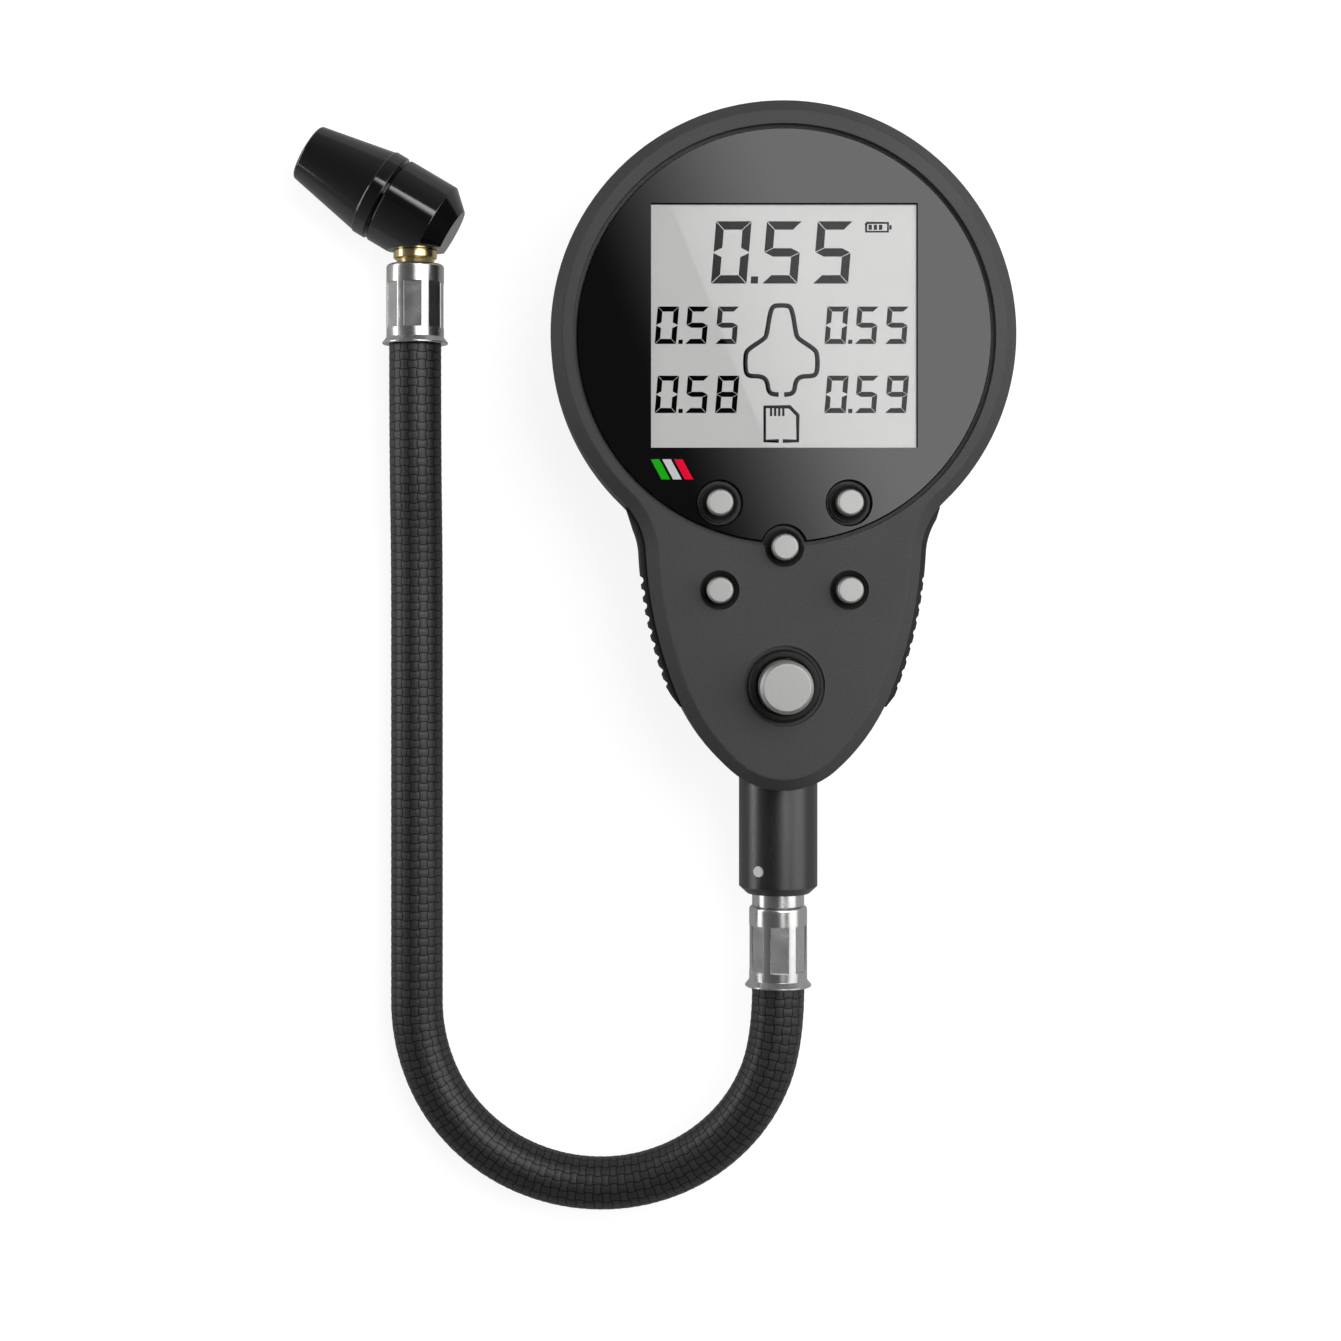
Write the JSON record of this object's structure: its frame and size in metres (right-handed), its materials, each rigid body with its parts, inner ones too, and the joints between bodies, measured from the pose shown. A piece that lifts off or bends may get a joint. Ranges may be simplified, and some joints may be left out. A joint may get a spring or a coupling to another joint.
{
  "type": "handheld tyre pressure gauge",
  "caption": "Handheld digital tyre pressure gauge: round display case with push buttons, bleed valve, swivelling braided hose and angled valve chuck.",
  "frame": {"origin": "middle of the round head on the flat back face", "axes": "+Z out of the display, +Y towards the top of the head, away from the hose"},
  "size_m": [0.1356, 0.2095, 0.0385],
  "materials": {
    "case_plastic": "moulded black ABS, fine grain",
    "grip_rubber": "matt black rubber",
    "lens_glass": "clear polished acrylic",
    "lens_black": "black printed bond",
    "display": "grey liquid crystal display",
    "inner_plastic": "white moulded plastic",
    "board": "green solder mask",
    "chip": "black epoxy",
    "button_metal": "brushed",
    "black_metal": "black anodised",
    "chrome": "polished plating",
    "steel": "bright steel",
    "brass": "turned brass",
    "aluminium": "machined",
    "hose_braid": "black braided cover over rubber",
    "battery": "plain wrapped cell"
  },
  "bodies": {
    "gauge": {"front_case": "case_plastic", "rear_case": "case_plastic", "case_gasket": "grip_rubber", "grip_left": "grip_rubber", "grip_right": "grip_rubber", "lens": "lens_glass", "lens_bond": "lens_black", "display_panel": "display", "display_frame": "chip", "backlight_panel": "inner_plastic", "contact_strips": "grip_rubber", "circuit_board": "board", "main_chip": "chip", "memory_chip": "chip", "push_switches": "chip", "button_seals": "grip_rubber", "bleed_collar": "grip_rubber", "bleed_bush": "brass", "bleed_spring": "steel", "manifold_block": "aluminium", "manifold_screws": "steel", "tube_socket": "black_metal", "retaining_pin": "steel", "pressure_sensor": "steel", "sensor_pins": "steel", "batteries": "battery", "battery_contacts": "steel", "battery_springs": "steel", "battery_cover": "case_plastic", "cover_seal": "grip_rubber", "cover_screws": "steel", "case_screws": "steel"},
    "upper_left_button_cap": {"upper_left_button": "button_metal"},
    "upper_right_button_cap": {"upper_right_button": "button_metal"},
    "middle_button_cap": {"middle_button": "button_metal"},
    "lower_left_button_cap": {"lower_left_button": "button_metal"},
    "lower_right_button_cap": {"lower_right_button": "button_metal"},
    "bleed_valve": {"bleed_button": "button_metal", "bleed_stem": "steel", "bleed_seal": "grip_rubber"},
    "hose_line": {"swivel_stem": "chrome", "stem_seals": "grip_rubber", "lower_ferrule": "chrome", "hose_ends": "hose_braid", "hose": "hose_braid", "upper_ferrule": "chrome", "brass_nipple": "brass", "chuck_nose": "black_metal", "chuck_body": "black_metal", "chuck_seal": "grip_rubber", "depressor_pin": "brass", "chuck_sleeve": "brass"}
  },
  "joints": [
    {"name": "upper_left_press", "type": "slide", "parent": "gauge", "child": "upper_left_button_cap", "axis": [0, 0, -1], "range_m": [0, 0.0005], "stiffness_N_per_m": 900},
    {"name": "upper_right_press", "type": "slide", "parent": "gauge", "child": "upper_right_button_cap", "axis": [0, 0, -1], "range_m": [0, 0.0005], "stiffness_N_per_m": 900},
    {"name": "middle_press", "type": "slide", "parent": "gauge", "child": "middle_button_cap", "axis": [0, 0, -1], "range_m": [0, 0.0005], "stiffness_N_per_m": 900},
    {"name": "lower_left_press", "type": "slide", "parent": "gauge", "child": "lower_left_button_cap", "axis": [0, 0, -1], "range_m": [0, 0.0005], "stiffness_N_per_m": 900},
    {"name": "lower_right_press", "type": "slide", "parent": "gauge", "child": "lower_right_button_cap", "axis": [0, 0, -1], "range_m": [0, 0.0005], "stiffness_N_per_m": 900},
    {"name": "bleed_press", "type": "slide", "parent": "gauge", "child": "bleed_valve", "axis": [0, 0, -1], "range_m": [0, 0.0025], "stiffness_N_per_m": 1500, "deforming": ["bleed_spring"]},
    {"name": "hose_swivel", "type": "hinge", "parent": "gauge", "child": "hose_line", "pos_m": [0, -0.1046, 0.0125], "axis": [0, 1, 0], "continuous": true}
  ]
}
